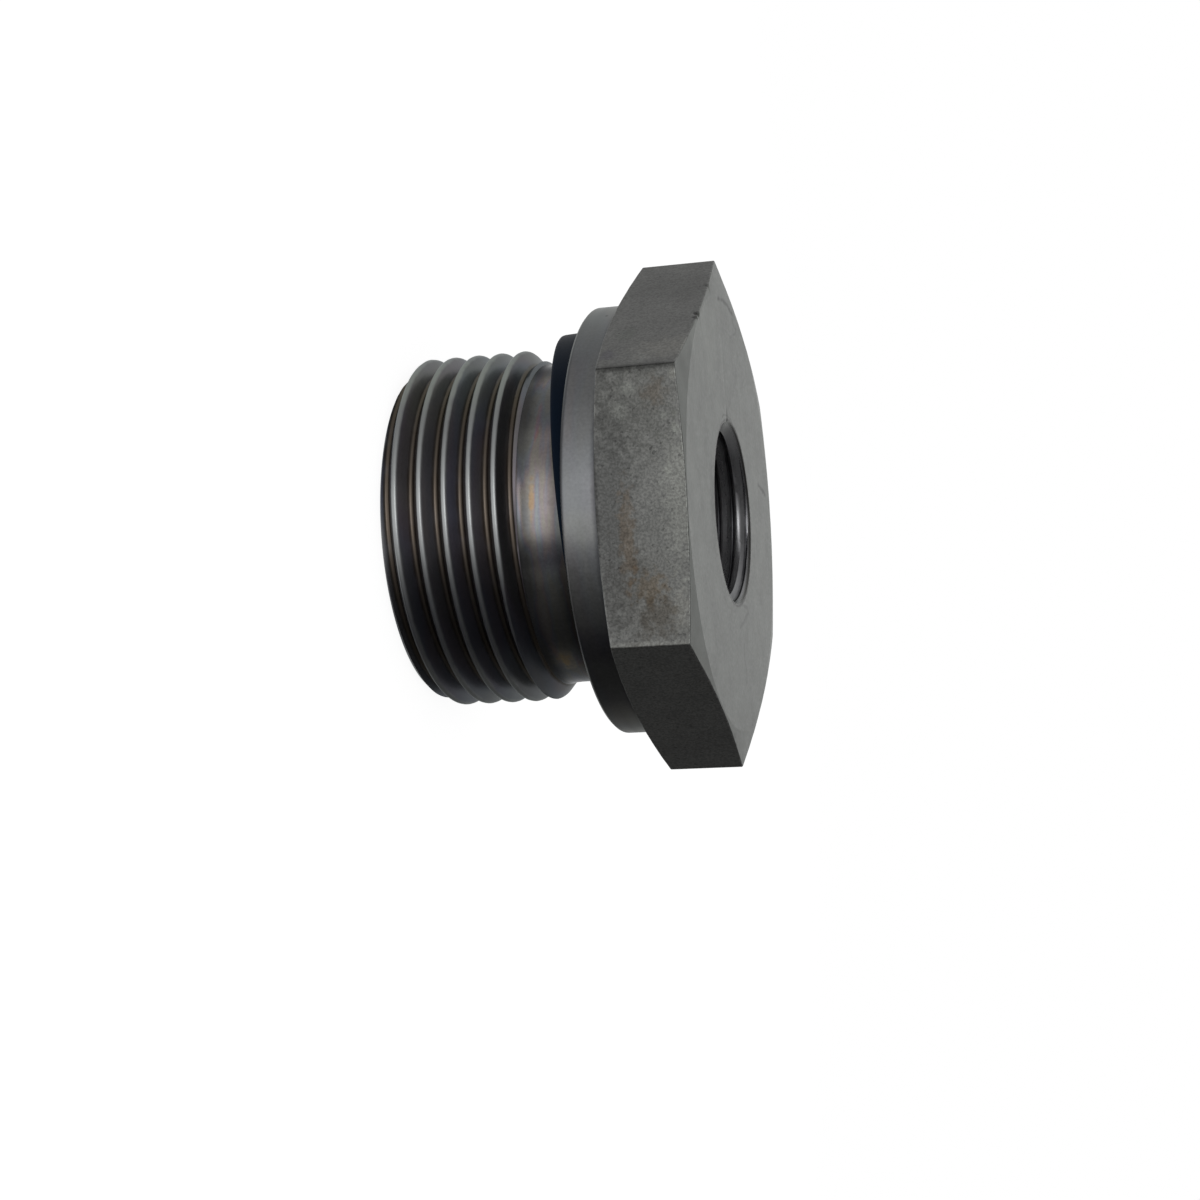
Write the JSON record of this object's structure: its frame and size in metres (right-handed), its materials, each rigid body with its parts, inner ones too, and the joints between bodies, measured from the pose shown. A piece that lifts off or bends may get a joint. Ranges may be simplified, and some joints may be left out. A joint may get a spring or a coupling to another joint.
{
  "type": "reducing nipple",
  "caption": "Hexagon reducing nipple with a male parallel pipe thread, a face-sealed collar and a smaller female parallel pipe port.",
  "frame": {"origin": "centre of the stud's end face, on which the part stands", "axes": "+Z along the axis from the male thread to the port's mouth, with a flat of the hexagon facing -Y"},
  "size_m": [0.0474, 0.041, 0.0292],
  "materials": {
    "blackened_steel": "blackened, satin",
    "seal_rubber": "matt"
  },
  "bodies": {
    "root": {"nipple_body": "blackened_steel", "seal_ring": "seal_rubber"}
  },
  "joints": []
}
